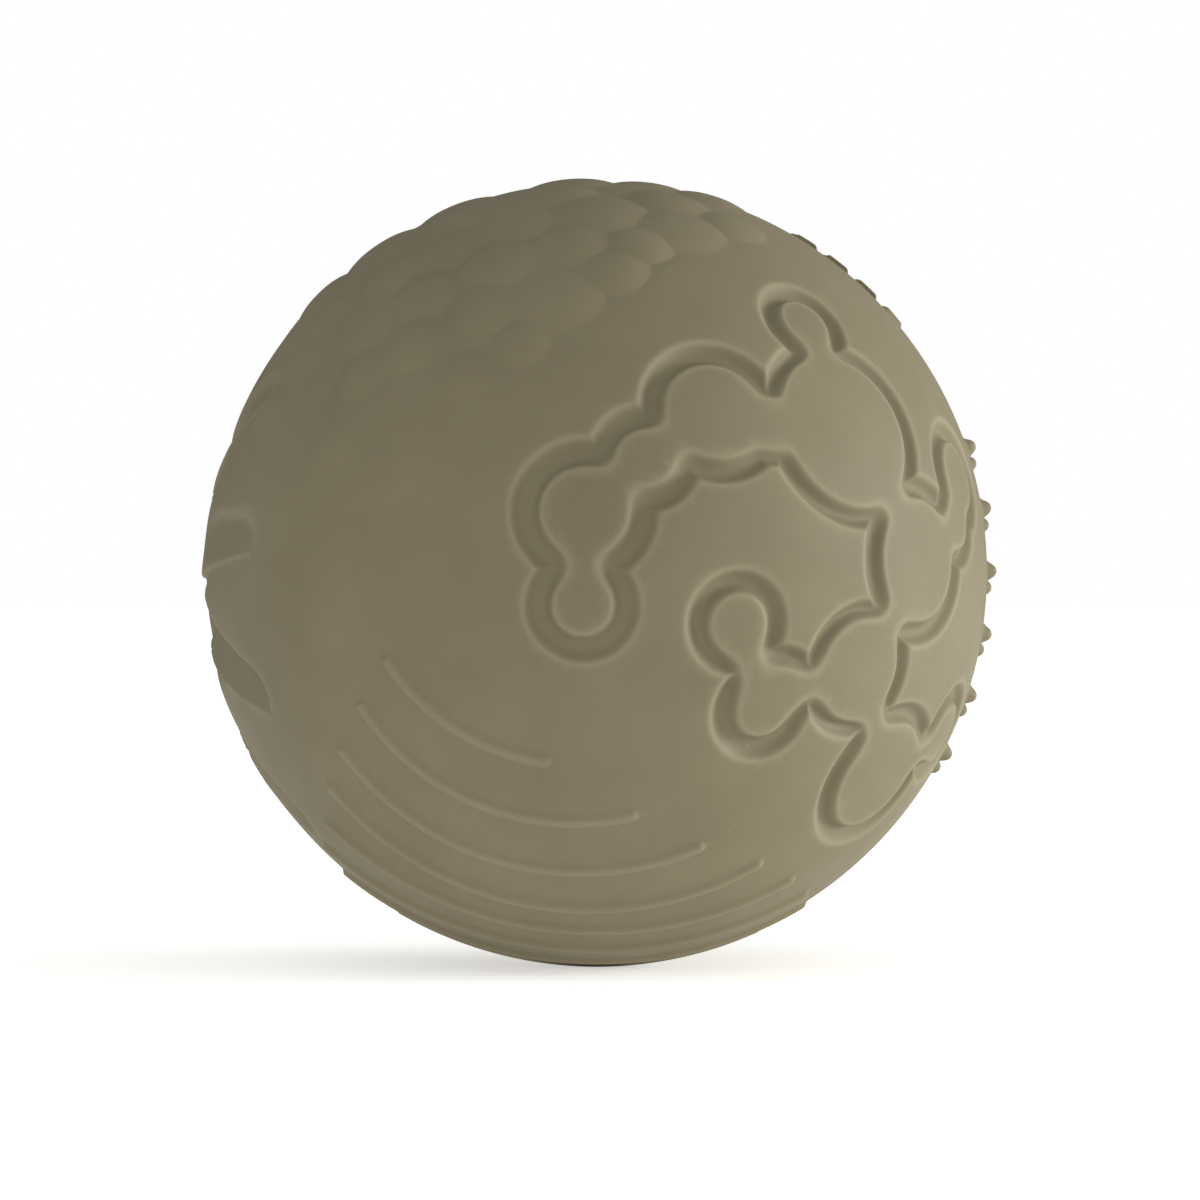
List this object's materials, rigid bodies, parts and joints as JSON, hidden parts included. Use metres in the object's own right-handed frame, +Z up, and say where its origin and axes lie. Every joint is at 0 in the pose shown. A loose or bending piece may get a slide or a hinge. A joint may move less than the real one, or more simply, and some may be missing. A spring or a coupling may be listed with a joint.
{
  "type": "sensory ball",
  "caption": "Air-filled rubber play ball in two bonded half shells with raised and sunken touch patterns, and a pull-out valve core at the rear pole.",
  "frame": {"origin": "centre of the ball, on the seam plane between the two half shells", "axes": "+Z up and -Y the pictured front, with the bead network on +X of the front; +Y runs out of the inflation valve at the rear pole"},
  "size_m": [0.1811, 0.1777, 0.1794],
  "materials": {
    "skin_rubber": "matte",
    "tape_rubber": "matte",
    "valve_rubber": "matte"
  },
  "bodies": {
    "ball": {"front_half": "skin_rubber", "rear_half": "skin_rubber", "seam_band": "tape_rubber", "valve_patch": "tape_rubber", "valve_housing": "valve_rubber"},
    "core": {"valve_core": "valve_rubber"}
  },
  "joints": [
    {"name": "core_pull", "type": "slide", "parent": "ball", "child": "core", "axis": [0, 1, 0], "range_m": [0, 0.018]}
  ]
}
